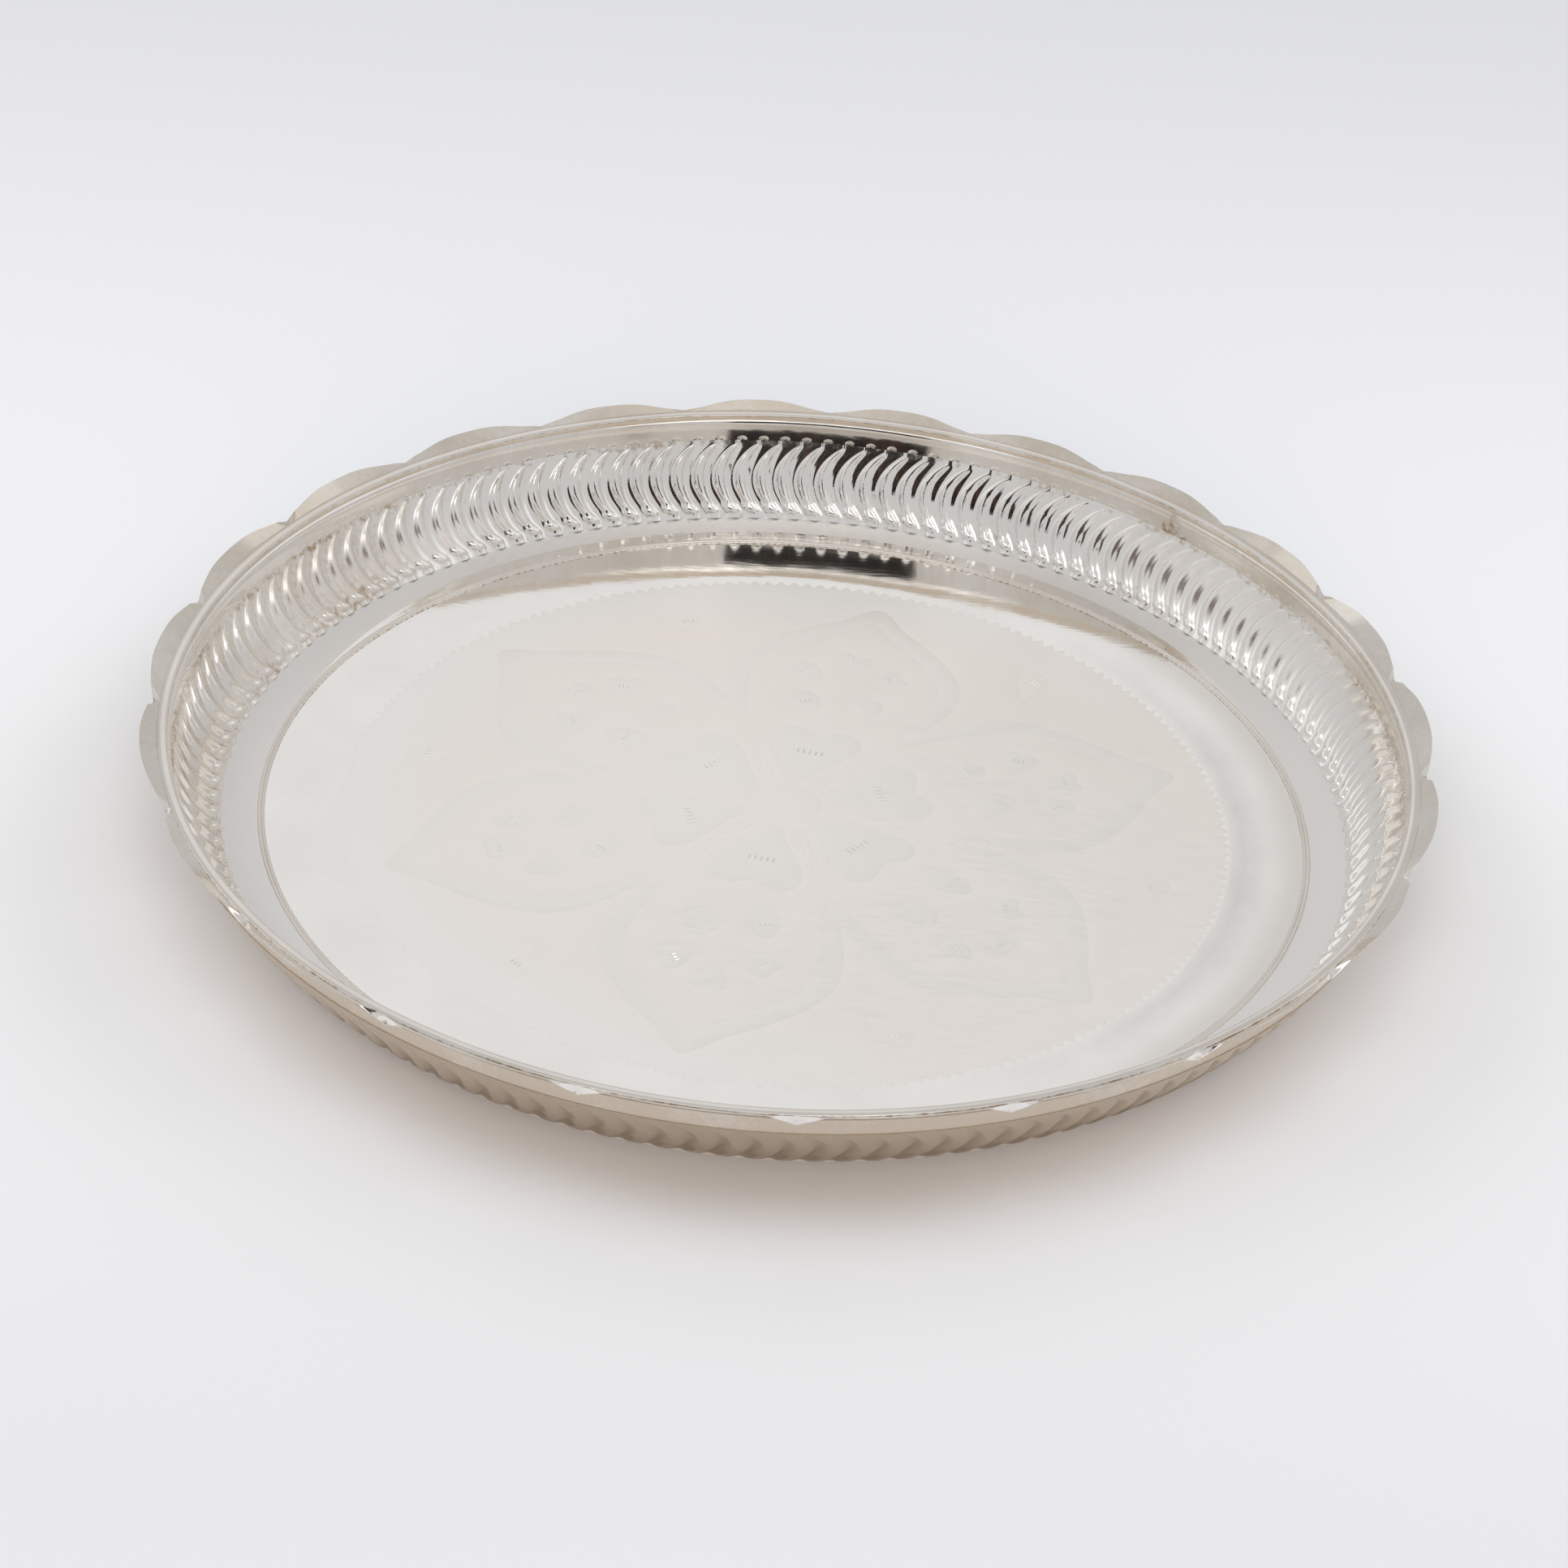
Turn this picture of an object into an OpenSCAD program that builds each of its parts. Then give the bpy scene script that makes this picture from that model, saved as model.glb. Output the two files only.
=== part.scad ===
// Round offering plate in polished silver: a shallow dish with a low domed floor, a fluted wall
// and a flared border cut into scallops. All sizes are in millimetres and +Z is up.
// The origin is below the middle of the floor, on the surface that the plate stands on.
// Six soldered pieces: base disc, reeded floor ring, fluted band, collar, border and rim wire.

/* [Sheet] */
// Thickness of the silver sheet in every piece
sheet = 0.9; // [0.6:0.1:1.5]

/* [Base disc] */
// Diameter of the floor, out to where its edge starts to turn up
floor_d = 231; // [200:1:280]
// How far the middle of the floor stands above its edge
floor_dome = 4.6; // [1:0.2:8]
// How far the hollow, turned-up skirt runs outwards, floor to seam
skirt_run = 6.9; // [4:0.1:9]
// How far the skirt climbs, floor to seam
skirt_rise = 1.7; // [1:0.1:2.5]

/* [Floor ring] */
// How far the middle of the reeded ring is set in from the floor's edge
ring_inset = 1.8; // [1.5:0.1:40]
// Width of one half-round reed
reed_w = 1; // [0.6:0.1:1.4]
// How far the two reeds run into each other
reed_lap = 0.1; // [0.05:0.05:0.3]

/* [Fluted band] */
// How far the band leans outwards, seam to collar
band_run = 10.6; // [6:0.2:16]
// Height of the band, seam to collar
band_rise = 14.8; // [10:0.2:24]
// How far the band's middle bows outwards from a straight line between its seams
band_sag = 1; // [0:0.1:2]
// Number of flutes round the band
flute_count = 144; // [60:4:180]
// How far a flute stands into the dish
flute_depth = 1.6; // [0.6:0.1:2.2]
// How far a flute's belly bows sideways from a line between its ends
flute_bow = 4.2; // [0:0.1:6]
// How far a flute's upper end is set back from its foot
flute_lean = 1.8; // [0:0.1:4]
// Plain height left below the flutes
flute_foot = 0.9; // [0.5:0.1:3]
// Plain height left above the flutes
flute_head = 0.8; // [0.4:0.1:2]

/* [Collar] */
// How far the plain collar leans outwards
collar_run = 0.8; // [0:0.1:3]
// Height of the plain collar, flutes to border
collar_rise = 5.1; // [3:0.1:12]

/* [Border] */
// Width of the border at the middle of a scallop, on average
border_w = 5.6; // [5:0.1:12]
// How much wider the hand-cut border is left and right, and narrower front and back
border_oval = 0.6; // [0:0.1:0.8]
// How far the border's edge rises above its flat margin
border_flare = 2; // [0:0.1:4]
// Number of scallops round the edge
scallop_count = 22; // [12:1:32]
// How far each scallop's edge curves in towards its ends
scallop_bow = 2; // [0:0.1:2.2]
// How far each scallop's edge sinks towards its ends
scallop_dip = 0.5; // [0:0.1:1.5]
// How far the pinch between two scallops cuts in
pinch_depth = 0.4; // [0:0.1:0.8]
// How far a pinch bends the edge down, on average
pinch_drop = 1.2; // [0:0.1:2]
// How much harder the hand pinched the front, and softer the back
pinch_swing = 0.6; // [0:0.1:1]
// Width of a pinch along the edge
pinch_w = 6; // [3:0.5:12]

/* [Wires] */
// Width of the half-round wire on the border's margin
wire_w = 2.2; // [1:0.1:2.4]
// Height of the flat-sided foot below the round of each wire
wire_foot = 0.15; // [0.1:0.05:0.4]

/* [Hand spacing] */
// How far hand-set flutes and scallops drift from even spacing, in degrees
hand_drift = 8; // [0:0.5:10]
// Direction where the spacing is widest, in degrees
drift_to = 255; // [0:5:355]
// Direction of the first pinch before drift, in degrees
first_pinch = 8.7; // [0:0.1:30]

/* [Hidden] */
$fn = 180;
silver = [0.80, 0.79, 0.77];
bright_silver = [0.88, 0.87, 0.85];
// Step between points on a wire's round, in degrees
wire_step = 15;
// Number of straight steps from the middle of the domed floor to its flat edge, and up the skirt
dome_steps = 16;
skirt_steps = 6;
// How late the skirt turns up: 1 is a straight slope, 2 a parabola
skirt_turn = 2.5;

// Heights of the four soldered seams, from the floor up
seam_z = sheet + skirt_rise;
collar_z = seam_z + band_rise;
border_z = collar_z + collar_rise;
margin_z = border_z + sheet;

// Inside radius at each seam, from the floor out
floor_r = floor_d / 2;
seam_r = floor_r + skirt_run;
collar_r = seam_r + band_run;
border_r = collar_r + collar_run;
tip_r = border_r + border_w;

// The two reeds share their lap, and the dome ends just inside them
reed_pitch = reed_w - reed_lap;
ring_r = floor_r - ring_inset;
dome_r = ring_r - reed_w;

// Thickness of a leaning sheet measured level, so that seams can be cut flat
band_slope = atan2(band_rise, band_run);
band_t = sheet / sin(band_slope);
collar_t = sheet / sin(atan2(collar_rise, collar_run));

// Angle of a hand-set mark: even spacing plus one slow drift round the plate
function hand_angle(even) = even + hand_drift * sin(even - drift_to);

function polar(r, angle, z) = [r * cos(angle), r * sin(angle), z];

// Two triangles for the quad a-b-c-d
function quad(a, b, c, d) = [[a, b, c], [a, c, d]];

function flat_list(lists) = [for (one = lists) for (item = one) item];

// Height of the domed floor above its edge: a low bell that runs out level
function dome_z(r) = floor_dome * pow(1 - pow(r / dome_r, 2), 2);

// The skirt's hollow curve: level where it leaves the floor, and steepest at its lip
function skirt_at(u) = [floor_r + skirt_run * u, skirt_rise * pow(u, skirt_turn)];

// Round disc of sheet: a domed floor, a flat ring to stand on, and a skirt cut level at the seam
module base_disc() {
    dome = [for (i = [0:dome_steps])
        let (r = dome_r * i / dome_steps) [r, dome_z(r)]];
    // The underside follows the same curve until it is as high as the seam
    under_end = pow(seam_z / skirt_rise, 1 / skirt_turn);
    color(silver)
    rotate_extrude()
    polygon(concat(
        dome,
        [for (i = [0:skirt_steps]) skirt_at(under_end * i / skirt_steps)],
        [for (i = [skirt_steps:-1:0]) skirt_at(i / skirt_steps) + [0, sheet]],
        [for (i = [dome_steps:-1:0]) dome[i] + [0, sheet]]
    ));
}

// Section of a half-round wire: a low flat-sided foot with a half circle on it
module half_round(width) {
    arch = [for (turn = [0:wire_step:180]) width / 2 * [cos(turn), sin(turn)] + [0, wire_foot]];
    polygon(concat(arch, [[-width / 2, 0], [width / 2, 0]]));
}

// Two half-round reeds side by side, laid flat on the floor
module floor_ring() {
    color(bright_silver)
    rotate_extrude()
    for (side = [-1, 1])
        translate([ring_r + side * reed_pitch / 2, sheet]) half_round(reed_w);
}

// Stations along a flute: place from foot to head, share of its depth, and share of its width.
// A bead at the foot, a waist above it, the belly, and a pointed head.
flute_stations = [[0.06, 0.85, 0.8], [0.17, 0.55, 0.65], [0.45, 1, 1], [0.76, 0.9, 0.8], [1, 0.25, 0.35]];
// Across a flute, as a share of its pitch and of its depth: the ridge, with plain sheet between
inner_cols = [[0.18, 0], [0.5, 1], [0.82, 0]];
outer_cols = [[0.22, 0], [0.5, 0.94], [0.78, 0]];

// Rows of the band: height, share of the flute's depth, place along the flute, share of its width
foot_z = seam_z + flute_foot;
head_z = collar_z - flute_head;
band_rows = concat(
    [[seam_z, 0, 0, 0.8]],
    [for (s = flute_stations) [foot_z + s[0] * (head_z - foot_z), s[1], s[0], s[2]]],
    [[collar_z, 0, 1, 0.35]]
);

// The band's own curve, bowed outwards a little between its seams
function band_r(z) =
    let (v = (z - seam_z) / band_rise)
    seam_r + band_run * v + 4 * band_sag * v * (1 - v);

// Sideways shift of a flute: bowed one way at its belly, leaning back at its head
function flute_turn(t, r) =
    (flute_bow * (1 - pow(2 * t - 1, 2)) - flute_lean * t) / r * 180 / PI;

// One point of the band, pressed in square to the sheet by the flute's depth there
function band_point(i, col, row, thick) =
    let (r = band_r(row[0]) + thick)
    let (press = flute_depth * row[1] * col[1])
    polar(r - press * sin(band_slope),
          hand_angle((i + 0.5 + (col[0] - 0.5) * row[3]) * 360 / flute_count) + flute_turn(row[2], r),
          row[0] + press * cos(band_slope));

// Strip with crescent flutes pressed into it, hollow behind each flute
module fluted_band() {
    rows = len(band_rows);
    n_in = len(inner_cols);
    n_out = len(outer_cols);
    ring_in = flute_count * n_in;
    ring_out = flute_count * n_out;
    points = concat(
        [for (row = band_rows, i = [0:flute_count - 1], col = inner_cols)
            band_point(i, col, row, 0)],
        [for (row = band_rows, i = [0:flute_count - 1], col = outer_cols)
            band_point(i, col, row, band_t)]
    );
    function inside(j, row) = row * ring_in + j % ring_in;
    function outside(j, row) = rows * ring_in + row * ring_out + j % ring_out;
    function end_face(i, row) = concat(
        [for (j = [0:n_in]) inside(i * n_in + j, row)],
        [for (j = [n_out:-1:0]) outside(i * n_out + j, row)]
    );
    function backwards(face) = [for (k = [len(face) - 1:-1:0]) face[k]];
    inner_faces = flat_list([for (row = [0:rows - 2], j = [0:ring_in - 1])
        quad(inside(j, row), inside(j, row + 1), inside(j + 1, row + 1), inside(j + 1, row))]);
    outer_faces = flat_list([for (row = [0:rows - 2], j = [0:ring_out - 1])
        quad(outside(j, row), outside(j + 1, row), outside(j + 1, row + 1), outside(j, row + 1))]);
    bottom_faces = [for (i = [0:flute_count - 1]) end_face(i, 0)];
    top_faces = [for (i = [0:flute_count - 1]) backwards(end_face(i, rows - 1))];
    color(silver)
    polyhedron(points, concat(inner_faces, outer_faces, bottom_faces, top_faces), convexity = 6);
}

// Plain upright strip between the flutes and the border
module rim_collar() {
    color(silver)
    rotate_extrude()
    polygon([
        [collar_r, collar_z],
        [collar_r + collar_t, collar_z],
        [border_r + collar_t, border_z],
        [border_r, border_z]
    ]);
}

// Places along one scallop, as a share of its length from pinch to pinch
pinch_share = pinch_w / (2 * PI * tip_r / scallop_count) / 2;
scallop_cols = [0, pinch_share, 0.2, 0.35, 0.5, 0.65, 0.8, 1 - pinch_share];

// 1 at a pinch, falling straight to 0 at the pinch's sides
function pinch_at(share) = max(0, 1 - min(share, 1 - share) / pinch_share);

function edge_r(share, angle) =
    tip_r + border_oval * cos(2 * angle)
    - scallop_bow * pow(1 - 2 * share, 2) - pinch_depth * pinch_at(share);

function edge_z(share, angle) =
    margin_z + border_flare - scallop_dip * pow(1 - 2 * share, 2)
    - (pinch_drop - pinch_swing * sin(angle)) * pinch_at(share);

// Flared strip with a flat inner margin and a scalloped edge, pinched between scallops
module rim_border() {
    n_col = len(scallop_cols);
    ring = scallop_count * n_col;
    margin_r = border_r + wire_w;
    marks = [for (i = [0:scallop_count - 1], share = scallop_cols)
        [hand_angle(first_pinch + (i + share) * 360 / scallop_count), share]];
    points = flat_list([for (drop = [0, sheet]) concat(
        [for (m = marks) polar(border_r, m[0], margin_z - drop)],
        [for (m = marks) polar(margin_r, m[0], margin_z - drop)],
        [for (m = marks) polar(edge_r(m[1], m[0]), m[0], edge_z(m[1], m[0]) - drop)]
    )]);
    function at(row, j) = row * ring + j % ring;
    // Rows 0 to 2 run out along the top, and rows 3 to 5 along the underside
    function strip(from, to) = flat_list([for (j = [0:ring - 1])
        quad(at(from, j), at(to, j), at(to, j + 1), at(from, j + 1))]);
    color(bright_silver)
    polyhedron(
        points,
        concat(strip(1, 0), strip(2, 1), strip(0, 3), strip(3, 4), strip(4, 5), strip(5, 2)),
        convexity = 6
    );
}

// Half-round wire laid on the border's flat margin, over the seam below
module rim_wire() {
    color(bright_silver)
    rotate_extrude()
    translate([border_r + wire_w / 2, margin_z]) half_round(wire_w);
}

base_disc();
floor_ring();
fluted_band();
rim_collar();
rim_border();
rim_wire();
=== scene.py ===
from math import atan2, cos, pi, radians, sin, sqrt

import bpy
import numpy
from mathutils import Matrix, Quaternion, Vector
from mathutils.geometry import delaunay_2d_cdt


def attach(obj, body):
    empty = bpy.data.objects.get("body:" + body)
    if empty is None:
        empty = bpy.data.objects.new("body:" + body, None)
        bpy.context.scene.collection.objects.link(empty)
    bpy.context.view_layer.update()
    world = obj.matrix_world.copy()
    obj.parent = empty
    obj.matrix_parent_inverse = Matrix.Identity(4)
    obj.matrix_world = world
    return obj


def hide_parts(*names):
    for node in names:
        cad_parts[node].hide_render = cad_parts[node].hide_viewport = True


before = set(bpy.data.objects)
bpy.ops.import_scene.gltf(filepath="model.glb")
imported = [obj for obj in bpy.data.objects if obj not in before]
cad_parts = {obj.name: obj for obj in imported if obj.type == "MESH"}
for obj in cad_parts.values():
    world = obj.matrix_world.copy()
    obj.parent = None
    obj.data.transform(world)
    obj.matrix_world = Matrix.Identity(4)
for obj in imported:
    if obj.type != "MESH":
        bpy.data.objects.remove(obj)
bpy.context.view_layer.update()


# Base disc: one round of sheet silver, raised to a low dome, with a skirt turned up at its edge. The
# middle is satin inside a zigzag circle and engraved by hand with a flower, leaves and buds. The edge
# outside it is polished bright, and the skirt is left dull. It stands on the flat ring under its edge.
mm = 0.001
sheet = 0.9 * mm
floor_r = 115.5 * mm
dome_r = 98 * mm
dome_rise = 4.6 * mm
skirt_run, skirt_rise = 6.9 * mm, 1.7 * mm
seam_r, seam_z = floor_r + skirt_run, sheet + skirt_rise
dull_r, bright_strip = 114.2 * mm, 3.2 * mm

# The engraving is laid out in millimetres: its points, how deep each is cut, and the lines that join them
zigzag_r = 96.5
points, depths, lines, patches = [], [], [], []


class Flow:
    """A value in a node tree: arithmetic on it adds Math nodes to that tree."""

    def __init__(self, tree, socket=None):
        self.tree, self.socket = tree, socket

    def node(self, kind, settings=None, values=None, out=0):
        """Adds a node, sets its settings first, then gives its sockets their values or links."""
        made = self.tree.nodes.new(kind)
        for name, value in (settings or {}).items():
            setattr(made, name, value)
        for key, value in (values or {}).items():
            if isinstance(value, Flow):
                self.tree.links.new(value.socket, made.inputs[key])
            else:
                made.inputs[key].default_value = value
        return Flow(self.tree, made.outputs[out])

    def math(self, operation, *operands):
        return self.node("ShaderNodeMath", {"operation": operation}, dict(enumerate(operands)))

    def __add__(self, other):
        return self.math("ADD", self, other)

    def __radd__(self, other):
        return self.math("ADD", other, self)

    def __sub__(self, other):
        return self.math("SUBTRACT", self, other)

    def __rsub__(self, other):
        return self.math("SUBTRACT", other, self)

    def __mul__(self, other):
        return self.math("MULTIPLY", self, other)

    def __rmul__(self, other):
        return self.math("MULTIPLY", other, self)

    def __truediv__(self, other):
        return self.math("DIVIDE", self, other)

    def __rtruediv__(self, other):
        return self.math("DIVIDE", other, self)

    def __pow__(self, other):
        return self.math("POWER", self, other)

    def __lt__(self, other):
        return self.math("LESS_THAN", self, other)

    def __gt__(self, other):
        return self.math("GREATER_THAN", self, other)

    def at_least(self, other):
        return self.math("MAXIMUM", self, other)

    def at_most(self, other):
        return self.math("MINIMUM", self, other)

    def sin(self):
        return self.math("SINE", self)

    def cos(self):
        return self.math("COSINE", self)

    def __abs__(self):
        return self.math("ABSOLUTE", self)

    def share(self, low, high):
        """0 below low, 1 above high, and a smooth step between them."""
        return self.node("ShaderNodeMapRange", {"interpolation_type": "SMOOTHSTEP"},
                         {"Value": self, "From Min": low, "From Max": high})

    def split(self):
        """The three parts of a vector."""
        parts = self.node("ShaderNodeSeparateXYZ", None, {0: self})
        return [Flow(self.tree, socket) for socket in parts.socket.node.outputs]

    def join(self, x, y, z):
        return self.node("ShaderNodeCombineXYZ", None, {0: x, 1: y, 2: z})

    def mark(self, name):
        """A value stored on the piece's mesh."""
        return self.node("ShaderNodeAttribute", {"attribute_name": name}, out="Fac")

    def noise(self, place, scale, detail=2.0):
        """Soft noise about 0, from nearly -0.5 to 0.5."""
        return self.node("ShaderNodeTexNoise", None,
                         {"Vector": place, "Scale": scale, "Detail": detail}) - 0.5

    def blend(self, first, second):
        """A colour between two, by this value."""
        return self.node("ShaderNodeMix", {"data_type": "RGBA"}, {0: self, 6: first, 7: second}, 2)


def dome_z(r):
    """The sheet's height: a low dome, a hollow round it, and the skirt that the hollow rises into."""
    out = max(0.0, (r - dome_r) / (seam_r - dome_r))
    skirt = skirt_rise * (0.56 * out ** 2 + 0.44 * out ** 6)
    return dome_rise * max(0.0, 1 - (r / dome_r) ** 2) ** 2 + skirt


def turned(u, v, angle):
    """A point u out along a direction and v to its left, in the plan of the floor."""
    return Vector((u * cos(angle) - v * sin(angle), u * sin(angle) + v * cos(angle)))


def flowing(stations, closed, steps=5):
    """Rounds a route off by a curve through its stations."""
    n = len(stations)
    route = []
    for i in range(n if closed else n - 1):
        a, b, c, d = (Vector(stations[(i + k) % n if closed else min(max(i + k, 0), n - 1)])
                      for k in (-1, 0, 1, 2))
        for step in range(steps):
            t = step / steps
            route.append(0.5 * (2 * b + (c - a) * t + (2 * a - 5 * b + 4 * c - d) * t * t
                                + (3 * b - a - 3 * c + d) * t ** 3))
    return route if closed else route + [Vector(stations[-1])]


def engrave(route, closed=True, half=0.14, depth=0.013):
    """Cuts a V groove along a route: a deep middle line between two banks."""
    n = len(route)
    for side, cut in ((-half, 0.0), (0.0, depth), (half, 0.0)):
        first = len(points)
        for i, p in enumerate(route):
            before = route[i - 1] if closed or i else p
            after = route[(i + 1) % n] if closed or i < n - 1 else p
            along = (after - before).normalized()
            points.append(p + side * Vector((-along.y, along.x)))
            depths.append(cut)
        lines.extend((first + i, first + (i + 1) % n) for i in range(n if closed else n - 1))


def stroke(start, end, half=0.22, depth=0.1):
    """One bright cut of the graver: pointed at both ends, deepest in the middle."""
    middle, along = (start + end) / 2, (end - start).normalized()
    across = half * Vector((-along.y, along.x))
    first = len(points)
    points.extend((start, middle + across, end, middle - across, middle))
    depths.extend((0, 0, 0, 0, depth))
    lines.extend((first + a, first + b) for a, b in ((0, 1), (1, 2), (2, 3), (3, 0), (0, 4), (4, 2)))


def mirrored(stations):
    """Both sides of an outline that is the same left and right, from its left half."""
    return stations + [(u, -v) for u, v in reversed(stations) if v]


petal = mirrored([(9.6, 1.3), (14, 3.6), (19, 6.9), (24, 9.6), (28, 10.2), (31, 8), (31.4, 4.4),
                  (29.6, 0)])
leaf_outside = mirrored([(39.5, 22), (47, 24.6), (57, 26), (66, 23), (75, 15.5), (82, 7.5), (89.5, 0)])
leaf_inside = mirrored([(33.5, 17.5), (40, 19), (49, 20.8), (58, 21), (65, 17.6), (72.5, 10.6),
                        (78, 4.8), (83, 0)])
blossom = mirrored([(-3.6, 0.6), (-0.5, 3.2), (2.6, 3.9), (4.2, 2), (3.3, 0)])
leaflet = mirrored([(-5.4, 0.4), (-2.5, 2.7), (1.5, 3.3), (4.4, 2), (5.6, 0)])
bud = mirrored([(-6.4, 0.5), (-2, 2.6), (2.5, 3.4), (5, 2.2), (6, 0)])

engrave([turned(7.7, 0, 2 * pi * i / 40) for i in range(40)])
engrave([turned(0.5, 0, 2 * pi * i / 8) for i in range(8)], half=0.12)
for sixth in range(6):
    axis = radians(18 + 60 * sixth)
    outline = flowing([turned(u, v, axis) for u, v in petal], True, 4)
    engrave(outline)
    patches.append(outline)
    for v in (-2.6, -1.3, 0, 1.3, 2.6):
        stroke(turned(20.2, v, axis), turned(22.8, v * 1.05, axis))
    for v in (-0.5, 0.5):
        engrave([turned(u, v * (3 - u / 14), axis + pi / 6) for u in (10, 16, 22, 27)], False, 0.12)

    outer = flowing([turned(u, v, axis) for u, v in leaf_outside], False)
    inner = flowing([turned(u, v, axis) for u, v in leaf_inside], False)
    engrave(outer, False)
    engrave(inner, False)
    patches.append(outer + inner[::-1])

    sprig = [(43, 8, leaflet, 20), (57, 9, blossom, 60), (63.5, 0, blossom, 0),
             (59.5, -8.5, blossom, -55)]
    for reach, aside, shape, twist in sprig:
        where, turn = turned(reach, 0, axis + radians(aside)), axis + radians(twist)
        outline = flowing([where + turned(u, v, turn) for u, v in shape], True, 3)
        engrave(outline, half=0.13)
        patches.append(outline)
        for v in (-0.8, 0.2, 1.2):
            stroke(where + turned(-0.4, v, turn), where + turned(1.6, v, turn), 0.17)
    eye = turned(46.5, 0, axis - radians(9))
    curl = [eye + turned(5.2 - 0.028 * k, 0, axis + radians(4.6 * k)) for k in range(0, 100, 5)]
    engrave(curl, False, 0.13)
    patches.append([eye + turned(4.4, 0, 2 * pi * k / 24) for k in range(24)])

    between = axis + pi / 6
    where = turned(80, 0, between)
    outline = flowing([where + turned(u, v, between + 0.5) for u, v in bud], True, 3)
    engrave(outline, half=0.13)
    for v in (-1, 0, 1):
        stroke(turned(80, v, between), turned(82.4, v, between), 0.17)
zigs = 200
zigzag = [turned(zigzag_r + (0.85 if i % 2 else -0.85), 0, pi * i / zigs) for i in range(2 * zigs)]
engrave(zigzag, half=0.2, depth=0.014)

# Plain points keep the dome's faces even between the grooves, and the last circle is its edge
cuts = numpy.array(points)
for ring in range(2, 29):
    for k in range(ring * 6):
        p = turned(4 * ring, 0, 2 * pi * (k + ring % 2 / 2) / (ring * 6))
        if numpy.hypot(*(cuts - p).T).min() > 0.9:
            points.append(p)
            depths.append(0.0)
edge_steps = 360
edge_angles = [2 * pi * k / edge_steps for k in range(edge_steps)]
rim_first = len(points)
for angle in edge_angles:
    points.append(turned(floor_r / mm, 0, angle))
    depths.append(0.0)
flat, _, floor_faces, came_from, _, _ = delaunay_2d_cdt(points, lines, [], 0, 1e-4, True)
verts = []
for p, came in zip(flat, came_from):
    cut = mm * max((depths[i] for i in came), default=0)
    verts.append(Vector((p.x * mm, p.y * mm, sheet + dome_z(p.length * mm) - cut)))
row = [None] * edge_steps
for i, came in enumerate(came_from):
    for origin in came:
        if origin >= rim_first:
            row[origin - rim_first] = i

# From the floor's edge the sheet curves up into the skirt, over its lip and back underneath
skirt_steps, under_steps, foot_drop = 14, 12, 0.6 * mm
skirt_rs = [floor_r + skirt_run * k / skirt_steps for k in range(skirt_steps + 1)]
under_rs = [floor_r * k / under_steps for k in range(1, under_steps)]
profile = [(r, sheet + dome_z(r)) for r in skirt_rs[1:]]
profile += [(r, max(0.0, dome_z(r) - foot_drop * (1 - (r - floor_r) / skirt_run)))
            for r in skirt_rs[::-1]]
profile += [(r, dome_z(r) if r < dome_r else 0.0) for r in under_rs[::-1]]
faces = [tuple(face) for face in floor_faces]
for r, z in profile:
    first = len(verts)
    verts += [Vector((r * cos(angle), r * sin(angle), z)) for angle in edge_angles]
    for k in range(edge_steps):
        k1 = (k + 1) % edge_steps
        faces.append((row[k], first + k, first + k1, row[k1]))
    row = list(range(first, first + edge_steps))
verts.append(Vector((0, 0, dome_rise)))
faces += [(row[k], len(verts) - 1, row[(k + 1) % edge_steps]) for k in range(edge_steps)]


def inside(spots, outline):
    """Which of the spots lie inside a closed outline."""
    hit = numpy.zeros(len(spots), bool)
    for a, b in zip(outline, outline[1:] + outline[:1]):
        across = (a.y > spots[:, 1]) != (b.y > spots[:, 1])
        reach = (b.x - a.x) * (spots[:, 1] - a.y) / ((b.y - a.y) or 1e-9) + a.x
        hit ^= across & (spots[:, 0] < reach)
    return hit


disc_mesh = bpy.data.meshes.new("base_disc_silver")
disc_mesh.from_pydata(verts, [], faces)
disc_mesh.validate()
middles = numpy.array([face.center[:2] for face in disc_mesh.polygons]) / mm
polish = numpy.zeros(len(middles))
for outline in patches:
    polish[inside(middles, outline)] = 0.12
polish[~inside(middles, zigzag)] = 1.0
bright_cut = numpy.array([face.normal.z < 0.985 for face in disc_mesh.polygons])
polish[bright_cut] = 1.0
mark = disc_mesh.attributes.new("polish", "FLOAT", "FACE")
mark.data.foreach_set("value", polish.astype(numpy.float32))
disc_mesh.shade_smooth()
disc_mesh.set_sharp_from_angle(angle=radians(9))


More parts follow.
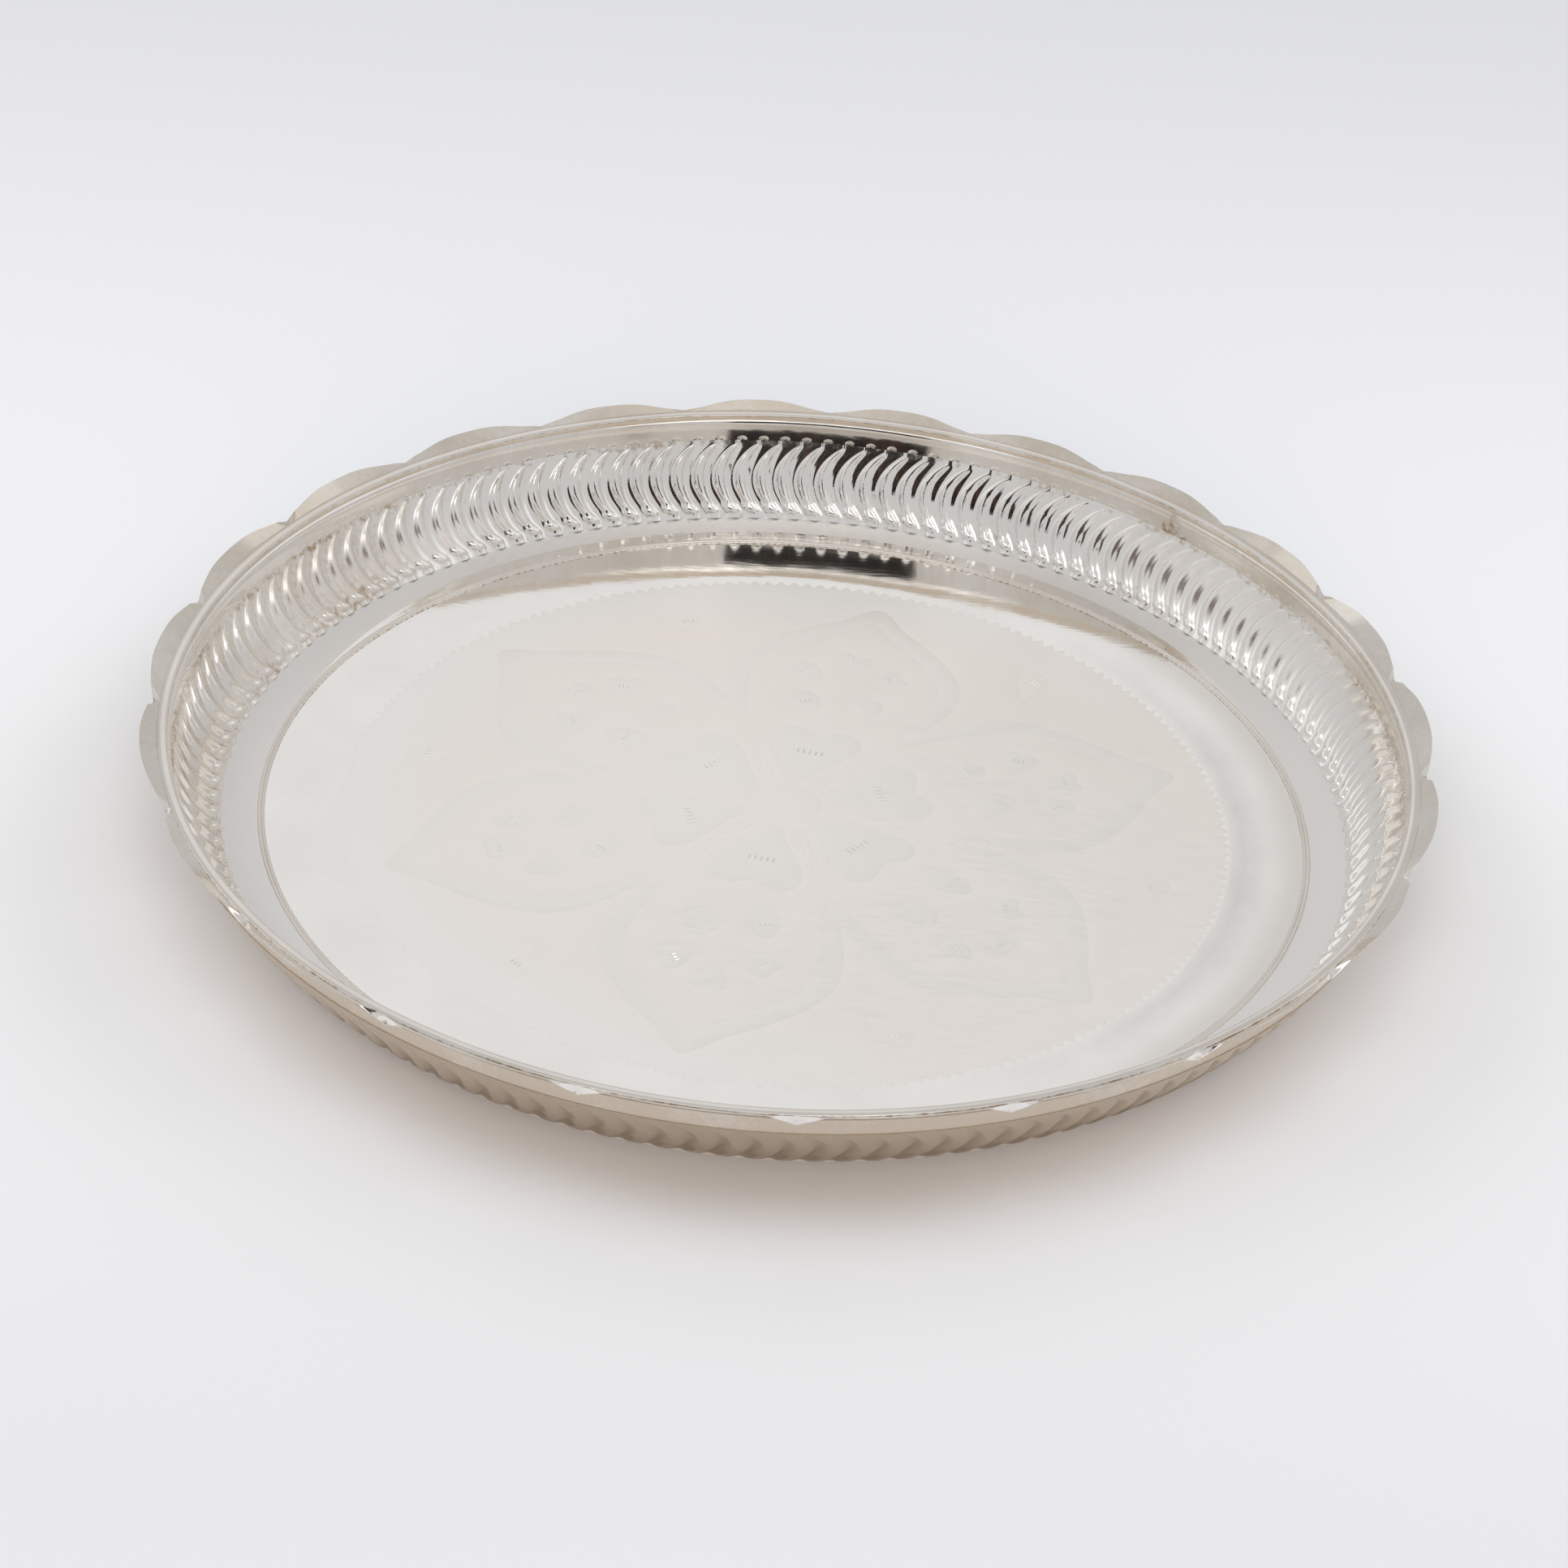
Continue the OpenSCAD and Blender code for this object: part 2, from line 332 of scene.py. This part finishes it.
def silver(name, tint, rough, waves=0.0, grain=0.0, stained=False, polished=False):
    """Silver sheet: clouds of old polish, rubbing marks and hand-worked unevenness. A polished piece
    is marked with its finish, and is painted with a sheen on its satin and a dark reflection on its
    bright edge. A stained one is marked with its film, which above 1 is painted shade, with its
    residue and with how dull it is."""
    made = bpy.data.materials.new(name)
    made.use_nodes = True
    tree = made.node_tree
    shader = tree.nodes["Principled BSDF"]
    shader.inputs["Metallic"].default_value = 1.0
    start = Flow(tree)
    place = start.node("ShaderNodeTexCoord", out="Object")
    clouds = start.noise(place, 45.0, 3.0)
    specks = start.noise(place, 700.0, 2.0)
    drawn = start.node("ShaderNodeMapping", None, {"Vector": place, "Scale": (1.0, 9.0, 4.0)})
    rubbed = start.noise(drawn, 160.0, 3.0)
    cloudy = (clouds * 1.6 + 0.5 + specks * 0.3).share(0.1, 0.9)
    colour = cloudy.blend((*tint, 1), (*(c * 0.94 for c in tint), 1))
    roughness = rough * (1 + clouds * 0.8 + rubbed * 0.8)
    if polished:
        finish = start.mark("polish")
        satin = 1 - finish.share(0.0, 1.0)
        roughness = roughness + satin * (0.33 + rubbed * 0.2)
        x, y, _ = place.split()
        # Painted sheen: the satin is painted lighter in a ring on its left side, with soft patches.
        painted_sheen = (x * x + y * y).share(0.005, 0.0093) * (1 - (x - y * 0.4).share(0.0, 0.08))
        painted_sheen = (painted_sheen + start.noise(place, 22.0, 1.0) * 0.7).at_least(0).at_most(1)
        cream = painted_sheen.blend((1.0, 0.948, 0.888, 1), (1.0, 0.975, 0.945, 1))
        cream = (finish > 0.1).blend(cream, (0.985, 0.943, 0.891, 1))
        colour = (finish > 0.5).blend(cream, colour)
        # Painted dark reflection: the polished edge is painted greyer on its right side, outward of about
        # 104 mm.
        painted_dark_reflection = x.share(0.05, 0.1) * (x * x + y * y).share(0.0108, 0.0125) * finish * 0.8
        colour = painted_dark_reflection.blend(colour, (0.72, 0.68, 0.64, 1))
        out = (x * x + y * y) ** 0.5
        far = (y / out).share(0.3, 0.85)
        skirt = (out - far * bright_strip).share(dull_r, dull_r + 0.6 * mm)
        colour = skirt.blend(colour, (0.84, 0.815, 0.79, 1))
        roughness = roughness + skirt * (0.3 + rubbed * 0.15)
    if stained:
        film_and_shade = start.mark("film_and_shade")
        yellowed = (film_and_shade * (1 + clouds * 2.2 + specks * 0.6)).at_most(1)
        colour = yellowed.blend(colour, (0.69, 0.615, 0.52, 1))
        # Film above 1 is painted shade: it darkens the silver towards dark brown.
        colour = (film_and_shade - 1).at_least(0).blend(colour, (0.34, 0.28, 0.22, 1))
        held = (start.mark("residue") * (0.8 + specks * 2.4 + clouds * 1.6)).share(0.3, 1.0)
        colour = held.blend(colour, (0.38, 0.27, 0.17, 1))
        roughness = roughness + film_and_shade.at_most(1) ** 5 * 0.38 + held * 0.3 + start.mark("dull")
    tree.links.new(colour.socket, shader.inputs["Base Color"])
    tree.links.new(roughness.socket, shader.inputs["Roughness"])
    bump = start.node("ShaderNodeBump", None, {
        "Height": clouds * waves + rubbed * grain, "Strength": 1.0, "Distance": 1.0}, "Normal")
    tree.links.new(bump.socket, shader.inputs["Normal"])
    return made


disc = bpy.data.objects.new("base_disc_silver", disc_mesh)
bpy.context.collection.objects.link(disc)
floor_silver = silver("floor_silver", (0.96, 0.935, 0.90), 0.05, 0.00006, 0.000004, polished=True)
disc_mesh.materials.append(floor_silver)
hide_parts("base_disc")
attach(disc, "root")


# Floor ring: two half-round reeds of silver wire, laid side by side and soldered to the floor's
# edge. The inner reed is milled all round with fine cuts, and the outer one is plain. Old polish
# stays in the cuts and along the reeds' feet.
reed_columns, reed_rows = 3456, 16
mill_pitch, mill_cut = 8, 2.5


def ring_piece(name, columns, rows, sizes, place, material, sharp):
    """Rolls a flat grid into a closed ring: columns run round the plate, rows round its section."""
    tree = bpy.data.node_groups.new(name, "GeometryNodeTree")
    tree.interface.new_socket("Mesh", in_out="OUTPUT", socket_type="NodeSocketGeometry")
    sockets = {}
    for label in sizes:
        socket = tree.interface.new_socket(label, in_out="INPUT", socket_type="NodeSocketFloat")
        sockets[label] = socket.identifier
    given = tree.nodes.new("NodeGroupInput")
    size = {label: Flow(tree, socket) for label, socket in zip(sizes, given.outputs)}
    start = Flow(tree)
    mesh = start.node("GeometryNodeMeshGrid", None, {"Size X": float(columns), "Size Y": float(rows),
                                                     "Vertices X": columns + 1, "Vertices Y": rows + 1})
    x, y, _ = start.node("GeometryNodeInputPosition").split()
    column = start.math("MODULO", start.math("ROUND", x + columns / 2), columns)
    row = start.math("MODULO", start.math("ROUND", y + rows / 2), rows)
    r, angle, z, marks = place(start, column, row, size)
    for label, value in marks.items():
        mesh = start.node("GeometryNodeStoreNamedAttribute", {"data_type": "FLOAT", "domain": "POINT"},
                          {"Geometry": mesh, "Name": label, "Value": value})
    spot = start.join(r * angle.cos(), r * angle.sin(), z)
    mesh = start.node("GeometryNodeSetPosition", None, {"Geometry": mesh, "Position": spot})
    mesh = start.node("GeometryNodeMergeByDistance", None, {"Geometry": mesh, "Distance": 1e-6})
    mesh = start.node("GeometryNodeRealizeInstances", None, {"Geometry": mesh})
    mesh = start.node("GeometryNodeSetMaterial", None, {"Geometry": mesh, "Material": material})
    end = tree.nodes.new("NodeGroupOutput")
    tree.links.new(mesh.socket, end.inputs[0])

    piece = bpy.data.objects.new(name, bpy.data.meshes.new(name))
    bpy.context.collection.objects.link(piece)
    rolled = piece.modifiers.new(name, "NODES")
    rolled.node_group = tree
    for label, value in sizes.items():
        rolled[sockets[label]] = float(value)
    seen = bpy.context.evaluated_depsgraph_get()
    made = bpy.data.meshes.new_from_object(piece.evaluated_get(seen), depsgraph=seen)
    piece.modifiers.clear()
    piece.data = made
    made.shade_smooth()
    made.set_sharp_from_angle(angle=radians(sharp))
    return piece


def reeds(start, column, row, size):
    """Outer reed, inner reed, and the flat foot that they stand on."""
    steps = reed_rows // 2 - 1
    inner = row > steps + 0.5
    turn = ((row - 1 - inner * steps) * (pi / (steps - 1))).at_least(0).at_most(pi)
    milled = inner * (start.math("MODULO", column, mill_pitch) < mill_cut)
    half = size["Reed width"] / 2 * (1 - milled * size["Mill depth"])
    shift = (0.5 - inner) * (size["Reed width"] - size["Reed lap"])
    foot = (row < 0.5) + (row > reed_rows - 1.5)
    r = size["Ring radius"] + shift + size["Reed width"] / 2 * turn.cos()
    z = size["Floor"] + (1 - foot) * (size["Foot"] + 0.6 * half * turn.sin())
    low = (1 - turn.sin()) ** 2
    return r, column * (2 * pi / reed_columns), z, {"residue": low * 0.6 + milled * 0.3, "film_and_shade": 0.1}


wire_silver = silver("wire_silver", (0.88, 0.835, 0.775), 0.12, 0.00004, 0.000004, stained=True)
floor_ring = ring_piece("floor_ring_reeds", reed_columns, reed_rows, {
    "Ring radius": 113.7 * mm, "Reed width": 0.85 * mm, "Reed lap": 0.1 * mm, "Foot": 0.13 * mm,
    "Floor": sheet + 0.4 * mm, "Mill depth": 0.3}, reeds, wire_silver, 50)
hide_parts("floor_ring")
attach(floor_ring, "root")


# Fluted band: a leaning strip of sheet, soldered to the skirt, with 144 crescent flutes pressed in
# from outside by hand, so they bulge into the dish and are hollow behind. Old polish stays brown
# in the creases between them and above their tips.
flutes = 144
hand_drift, drift_to = radians(8), radians(255)
band_run, band_rise = 10.6 * mm, 14.8 * mm
collar_r, collar_z = seam_r + band_run, seam_z + band_rise
flute_bow, flute_lean = 4.2 * mm, 1.8 * mm
flute_foot, flute_head = 0.9 * mm, 0.8 * mm
lobe_columns, flute_columns = 15, 17
outer_rows, inner_rows = 10, 28


def hand_angle(even):
    """Where a mark set by hand falls: even spacing with one slow drift round the plate."""
    return even + hand_drift * (even - drift_to).sin()


def lobes(start, column, row, size):
    """Crescent ridges pressed inwards, each with a round bead at its foot and a pointed head."""
    flute = start.math("FLOOR", column / flute_columns)
    step = column - flute * flute_columns
    own = start.node("FunctionNodeRandomValue", {"data_type": "FLOAT"}, {"ID": flute, "Seed": 7}, 1)
    inner = row > outer_rows - 0.5
    u = inner * (1 - (row - outer_rows) / (inner_rows - 1)) + (1 - inner) * (row / (outer_rows - 1))
    up = u - 0.09 * (u * (2 * pi)).sin()
    along = ((up * size["Band rise"] - size["Plain foot"])
             / (size["Band rise"] - size["Plain foot"] - size["Plain head"])).at_least(0).at_most(1)

    form = (1 - ((along - 0.48) / 0.52) ** 2).at_least(0) ** 0.6
    width = 0.24 + (0.70 + 0.04 * own) * form + 0.36 * (1 - along.share(0.0, 0.2))
    crest = 0.5 + 0.26 * along.share(0.2, 0.85)
    on_lobe = step < lobe_columns - 0.5
    across = step / (lobe_columns - 1)
    gap = (step - (lobe_columns - 1)) / (flute_columns - lobe_columns + 1)
    place = crest * (1 - width) + on_lobe * width * across + (1 - on_lobe) * (width + (1 - width) * gap)

    flank = (across / crest).at_most((1 - across) / (1 - crest)).at_least(0).at_most(1)
    swell = 1 - (1 - ((flank - 0.42) / 0.58).at_least(0)) ** 1.8
    ridge = (0.42 * flank + 0.58 * swell) * (0.12 + 0.88 * form) * (1 - 0.25 * along.share(0.4, 0.9))
    slope = sqrt(1 + (band_run / band_rise) ** 2)
    above = (up * size["Band rise"] - size["Plain foot"]) * slope - size["Bead radius"] * 0.7
    beside = (place - 0.55) * (2 * pi / flutes) * seam_r
    off_bead = ((above / 0.9) ** 2 + (beside / 1.5) ** 2) / size["Bead radius"] ** 2
    bead = (1 - off_bead).at_least(0) ** 0.5
    depth = size["Flute depth"] * (0.93 + 0.14 * own) * ridge
    raised = (on_lobe * depth).at_least(size["Bead height"] * bead)
    press = raised * (0.9 + 0.1 * inner)

    lean = atan2(band_rise, band_run)
    r = (seam_r + band_run * up + size["Sag"] * 4 * up * (1 - up)
         + (1 - inner) * (sheet / sin(lean)) - press * sin(lean))
    z = seam_z + up * size["Band rise"] + press * cos(lean)
    bow = size["Bow"] * (1 - (along * 2 - 1) ** 2) - size["Lean back"] * along
    angle = hand_angle((flute + place) * (2 * pi / flutes)) + bow / r

    height = raised / size["Flute depth"]
    crease, hollow = 1 - height.share(0.05, 0.3), height.share(0.3, 0.9)
    head, foot = along.share(0.93, 1.0), 1 - along.share(0.1, 0.25)
    worn = (-1 * angle.cos()).share(0.6, 0.95)
    at_sides = abs(angle.cos()).share(0.4, 0.7) * angle.sin().share(0.1, 0.5)
    residue = crease * (0.32 + 0.22 * head + 0.12 * foot + 0.12 * worn) * inner + (1 - inner) * 0.25
    # Outside, the film passes 1: painted shade over the whole outside, deeper towards the foot and in the
    # hollows behind the flutes.
    film_and_shade = ((1 - inner) * (1.2 + 0.2 * hollow + 0.35 * (1 - along.share(0.0, 0.6)))
            + inner * (0.1 * along + 0.4 * worn))
    dull = (0.16 * at_sides + 0.04 * worn) * inner
    return r, angle, z, {"residue": residue, "film_and_shade": film_and_shade, "dull": dull}


wall_silver = silver("wall_silver", (0.95, 0.925, 0.89), 0.07, 0.00008, 0.00001, stained=True)
fluted_band = ring_piece("fluted_band_silver", flutes * flute_columns, outer_rows + inner_rows, {
    "Band rise": band_rise, "Plain foot": flute_foot, "Plain head": flute_head,
    "Flute depth": 1.25 * mm, "Sag": 0.8 * mm, "Bow": flute_bow, "Lean back": flute_lean,
    "Bead radius": 1.25 * mm, "Bead height": 1.1 * mm}, lobes, wall_silver, 38)
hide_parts("fluted_band")
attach(fluted_band, "root")


# Collar: a plain, nearly upright strip of sheet above the flutes, planished by hand and so a little
# wavy. The punch that set each flute left a small raised arc above its tip. Its right side has brown
# blotches of old polish.
collar_run, collar_rise = 0.8 * mm, 5.1 * mm
border_r, border_z = collar_r + collar_run, collar_z + collar_rise
collar_columns, collar_outer, collar_inner = 16, 4, 24


def collar_wall(start, column, row, size):
    """Plain outside, and an upright inside that turns out at its top, with an arc above each flute."""
    inner = row > collar_outer - 0.5
    u = inner * (1 - (row - collar_outer) / (collar_inner - 1)) + (1 - inner) * (row / (collar_outer - 1))
    up = inner * u ** 1.8 + (1 - inner) * u
    even = (column / collar_columns) * (2 * pi / flutes)
    angle = hand_angle(even) - flute_lean / collar_r
    z = collar_z + up * size["Rise"]
    spot = start.join(collar_r * angle.cos(), collar_r * angle.sin(), z)
    free = inner * up.share(0.0, 0.2) * (1 - up.share(0.8, 1.0))
    dents = start.noise(spot, 75.0, 1.0) * size["Unevenness"] * free
    aside = (start.math("FRACT", column / collar_columns) - 0.5) * (2 * pi / flutes) * collar_r
    reach = start.math("SQRT", aside ** 2 + (up * size["Rise"] + 0.2 * mm) ** 2)
    off_arc = (reach - size["Arc radius"]) / size["Arc width"]
    arc = start.math("EXPONENT", -1 * off_arc ** 2) * inner * up.share(0.0, 0.05)
    turn_out = inner * (0.13 * up + 0.87 * up ** 10) + (1 - inner) * up
    r = (collar_r + collar_run * turn_out + (1 - inner) * size["Thickness"]
         + dents - arc * size["Arc height"])

    right, worn = angle.cos().share(0.2, 0.7), (-1 * angle.cos()).share(0.6, 0.95)
    blotches = start.noise(spot, 110.0, 3.0).share(0.02, 0.2) * right * 0.75
    in_corner = arc * 0.4 + (1 - reach.share(0.2 * mm, 0.7 * mm)) * 0.4
    residue = in_corner.at_least(blotches) * inner
    film_and_shade = 0.95 * (1 - inner) + (0.45 - 0.3 * worn + 0.15 * right) * inner
    return r, angle, z, {"residue": residue, "film_and_shade": film_and_shade}


rim_collar = ring_piece("rim_collar_silver", flutes * collar_columns, collar_outer + collar_inner, {
    "Rise": collar_rise, "Thickness": sheet * sqrt(1 + (collar_run / collar_rise) ** 2),
    "Unevenness": 0.1 * mm, "Arc radius": 0.9 * mm, "Arc width": 0.18 * mm, "Arc height": 0.13 * mm},
    collar_wall, wall_silver, 50)
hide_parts("rim_collar")
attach(rim_collar, "root")


# Border: a flared strip of sheet with a scalloped edge, soldered flat on the collar. Between each
# pair of its 22 scallops it is pinched down into a small V with two flat sides. The pinches are
# sharp on the near side, and soften into waves on the far side.
scallops = 22
first_pinch = radians(8.7)
wire_w = 2.2 * mm
margin_r, margin_z = border_r + wire_w, border_z + sheet
margin_share = 0.28
pinch_columns, scallop_columns = 6, 40
under_rows, edge_rows, over_rows = 6, 3, 12


def scalloped(start, column, row, size):
    """The border's section: out below, round the rolled edge, and back in above."""
    scallop = start.math("FLOOR", column / scallop_columns)
    step = column - scallop * scallop_columns
    from_pinch = step.at_most(scallop_columns - step)
    side = 1 - 2 * (step > scallop_columns / 2)

    over = row > under_rows + edge_rows - 0.5
    below = row < under_rows - 0.5
    edge = 1 - over - below
    q_below = row / (under_rows - 1)
    q_over = 1 - (row - under_rows - edge_rows) / (over_rows - 1)
    q = (below * q_below + over * q_over + edge).at_least(0).at_most(1)
    round_edge = edge * (row - under_rows + 1) * (pi / (edge_rows + 1))

    out = ((q - margin_share) / (1 - margin_share)).at_least(0)
    pinch_at = first_pinch + (scallop + (step > scallop_columns / 2)) * (2 * pi / scallops)
    near = 0.5 - 0.5 * hand_angle(pinch_at).sin()
    spread = size["Pinch width"] / 2 * (0.75 + 1.0 * near) * (0.12 + 0.88 * out)
    half = pi * size["Edge radius"] / scallops
    beyond = ((from_pinch - pinch_columns) / (scallop_columns / 2 - pinch_columns)).at_least(0)
    aside = (from_pinch / pinch_columns).at_most(1) * spread + beyond * (half - spread)
    share = aside / (2 * half)
    pinch = (1 - from_pinch / pinch_columns).at_least(0)
    angle = hand_angle(first_pinch + (scallop + 0.5 - side * (0.5 - share)) * (2 * pi / scallops))

    sharp, soft = (1 - share * 2) ** 2, (0.5 + 0.5 * (share * (2 * pi)).cos()) ** 1.6
    bow = size["Scallop bow"] * (sharp * near + soft * (1 - near))
    tip = (size["Edge radius"] + size["Oval"] * (angle * 2).cos()
           - bow - size["Pinch depth"] * near * 2 * pinch)
    drop = size["Pinch drop"] + size["Pinch swing"] * (near * 2 - 1)
    r = border_r + (q / margin_share).at_most(1) * wire_w + out * (tip - margin_r)
    reach = ((tip - margin_r) / (size["Edge radius"] - margin_r)).at_most(1)
    lift = (size["Flare"] * reach - drop * pinch) * out
    thin = 0.8 * out ** 2
    thick = over + (1 - over) * thin + edge * (1 - thin) * (0.5 - 0.5 * round_edge.cos())
    r = r + edge * round_edge.sin() * 0.1 * mm
    z = margin_z - sheet + thick * sheet + lift
    residue = pinch.share(0.6, 1.0) * out * over * 0.8
    worn = (-1 * angle.cos()).share(0.5, 0.95)
    # The far side carries more film: partly old polish, partly painted shade. On the far underside it
    # passes 1, which is painted shade.
    film_and_shade = 0.34 + 0.55 * (1 - near) ** 3 + 0.1 * worn + 0.2 * edge + 0.4 * below
    # On the near side the pinches are kept clear of film, so their facets show clean and bright: a
    # painted highlight.
    return r, angle, z, {"residue": residue, "film_and_shade": film_and_shade * (1 - near * (pinch > 0.01))}


rim_silver = silver("rim_silver", (0.93, 0.90, 0.86), 0.11, 0.0001, 0.00001, stained=True)
border_rows = under_rows + edge_rows + over_rows
rim_border = ring_piece("rim_border_silver", scallops * scallop_columns, border_rows, {
    "Edge radius": 139.2 * mm, "Oval": 0.6 * mm, "Scallop bow": 2.0 * mm,
    "Flare": 2.0 * mm, "Pinch width": 6.0 * mm, "Pinch depth": 0.4 * mm, "Pinch drop": 1.2 * mm,
    "Pinch swing": 1.0 * mm}, scalloped, rim_silver, 30)
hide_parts("rim_border")
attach(rim_border, "root")


# Rim wire: a low half-round silver wire laid on the border's inner margin and soldered over the
# seam. It is bent by hand, so it is not quite even, and old polish stays along its two feet.
wire_columns, wire_rows = 1080, 14


def half_round(start, column, row, size):
    """A half circle on a low foot, and the flat underside."""
    turn = ((row - 1) * (pi / (wire_rows - 3))).at_least(0).at_most(pi)
    foot = (row < 0.5) + (row > wire_rows - 1.5)
    angle = column * (2 * pi / wire_columns)
    spot = start.join(angle.cos(), angle.sin(), 0.0)
    uneven = start.noise(spot, 9.0, 2.0)
    half = size["Width"] / 2
    r = border_r + half + half * turn.cos()
    rise = size["Foot"] * (0.9 + 0.2 * uneven) + half * (0.2 + 0.1 * uneven) * turn.sin()
    z = margin_z + (1 - foot) * rise
    low = (1 - turn.sin()) ** 2
    return r, angle, z, {"residue": low * (0.75 + uneven), "film_and_shade": 0.15}


rim_wire = ring_piece("rim_wire_silver", wire_columns, wire_rows, {
    "Width": wire_w, "Foot": 0.13 * mm}, half_round, wire_silver, 50)
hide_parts("rim_wire")
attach(rim_wire, "root")


# Table: a plain pale sheet, painted a little darker far off and close to the camera: painted
# shade where the light falls off. It takes the plate's soft shadow.
table_mesh = bpy.data.meshes.new("table")
table_mesh.from_pydata([(-4, -4, 0), (4, -4, 0), (4, 4, 0), (-4, 4, 0)], [], [(0, 1, 2, 3)])
table = bpy.data.objects.new("table", table_mesh)
bpy.context.collection.objects.link(table)
table.location.z = -0.05 * mm
paper = bpy.data.materials.new("pale_paper")
paper.use_nodes = True
tree = paper.node_tree
start = Flow(tree)
_, y, _ = start.node("ShaderNodeTexCoord", out="Object").split()
# Painted shade: the paper is darker far off and close to the camera.
painted_falloff = y.share(0.1, 0.5).blend((0.82, 0.825, 0.835, 1), (0.665, 0.675, 0.685, 1))
painted_falloff = y.share(-0.24, -0.12).blend((0.77, 0.775, 0.785, 1), painted_falloff)
shader = tree.nodes["Principled BSDF"]
tree.links.new(painted_falloff.socket, shader.inputs["Base Color"])
shader.inputs["Roughness"].default_value = 1.0
shader.inputs["Specular IOR Level"].default_value = 0.0
table_mesh.materials.append(paper)


# Studio: a white tent all round. Polished metal sees its pale walls, a soft box at each side, a lamp
# high at the front, and below it the dark opening where the camera looks in, with a stand beside it.
# The light that falls on the plate and the table comes from above, behind and low at the front.
def window(value, low, full, fade, high):
    """1 between full and fade, in degrees, with a soft edge out to low and high."""
    return value.share(radians(low), radians(full)) * (1 - value.share(radians(fade), radians(high)))


def glow(sky, turn, rise, power):
    """Soft light from both sides of the back, turned away from it and raised, in degrees."""
    x, y, z = sky
    turn, rise = radians(turn), radians(rise)
    facing = abs(x) * (sin(turn) * cos(rise)) + y * (cos(turn) * cos(rise)) + z * sin(rise)
    return facing.at_least(0) ** power


world = bpy.data.worlds.new("tent")
bpy.context.scene.world = world
world.use_nodes = True
tree = world.node_tree
start = Flow(tree)
sky = start.node("ShaderNodeTexCoord", out="Generated").split()
x, y, z = sky
rays = start.node("ShaderNodeLightPath").socket.node.outputs
mirrored_ray = (Flow(tree, rays["Is Camera Ray"]) + Flow(tree, rays["Is Glossy Ray"])
                + Flow(tree, rays["Is Transmission Ray"])).at_most(1)
aside = start.math("ARCTAN2", x, -1 * y)
height = start.math("ARCSINE", z)
back = y.share(-0.2, 0.3)
turn = start.math("ARCTAN2", x, y)
walls = z.share(0.25, 0.5).blend((0.58, 0.58, 0.59, 1), (0.79, 0.79, 0.795, 1))
walls = (back * (1 - window(turn, -16, -10, 2, 6))).blend(walls, (0.59, 0.59, 0.59, 1))
walls = (back * z.share(0.66, 0.74)).blend(walls, (0.58, 0.585, 0.6, 1))
walls = z.share(0.8, 0.97).blend(walls, (0.68, 0.68, 0.68, 1))
front = 1 - back
walls = front.blend(walls, (0.62, 0.62, 0.63, 1))
boxes = window(abs(turn), 42, 48, 95, 105) * window(height, 24, 28, 50, 54)
walls = boxes.blend(walls, (0.9, 0.9, 0.9, 1))
top = radians(65) + radians(16) * aside.share(radians(8), radians(20))
lamp = (front * height.share(radians(54), radians(57)) * (1 - (height - top).share(0.0, radians(3)))
        * (1 - abs(aside).share(radians(50), radians(60))))
walls = lamp.blend(walls, (1.7, 1.7, 1.7, 1))

opening = window(aside, -23, -22, 15.5, 16.5) * window(height, 19, 21, 41, 43)
stand = window(aside, 30, 30.5, 34.5, 35) * window(height, 28, 28.5, 33, 33.5)
patchy = start.noise(start.join(aside * 6, 0.0, height * 3), 1.0, 1.0)
brown = ((aside * 24 + 1.5).sin() * 0.3 + patchy).share(0.0, 0.12) * window(height, 26, 29, 35, 38)
room = brown.blend((0.008, 0.008, 0.009, 1), (0.055, 0.021, 0.012, 1))
walls = (opening + stand * 0.85).blend(walls, room)

even = glow(sky, 0, 90, 8) * 1.95 + glow(sky, 40, 10, 16) * 4.2 + glow(sky, 70, 36, 16) * 2.05
low = glow(sky, 180, 11.5, 8)
light = start.join(even * 0.97 + low * 4.8, even + low * 4.15, even * 1.04 + low * 3.7)
seen = mirrored_ray.blend(light, walls)
tree.links.new(seen.socket, tree.nodes["Background"].inputs["Color"])
bpy.context.scene.view_settings.view_transform = "Standard"


# Camera: a long lens about 1.3 m off, looking down at 34 degrees and rolled a little.
lens = bpy.data.cameras.new("camera")
lens.sensor_width, lens.lens = 36, 141.6
camera = bpy.data.objects.new("camera", lens)
bpy.context.collection.objects.link(camera)
camera.location = (0, -1.1084, 0.7584)
aim = Vector((-0.00076, 0.0141, 0.0009))
camera.rotation_mode = "QUATERNION"
camera.rotation_quaternion = ((aim - camera.location).to_track_quat("-Z", "Y")
                              @ Quaternion((0, 0, 1), radians(3.87)))
bpy.context.scene.camera = camera
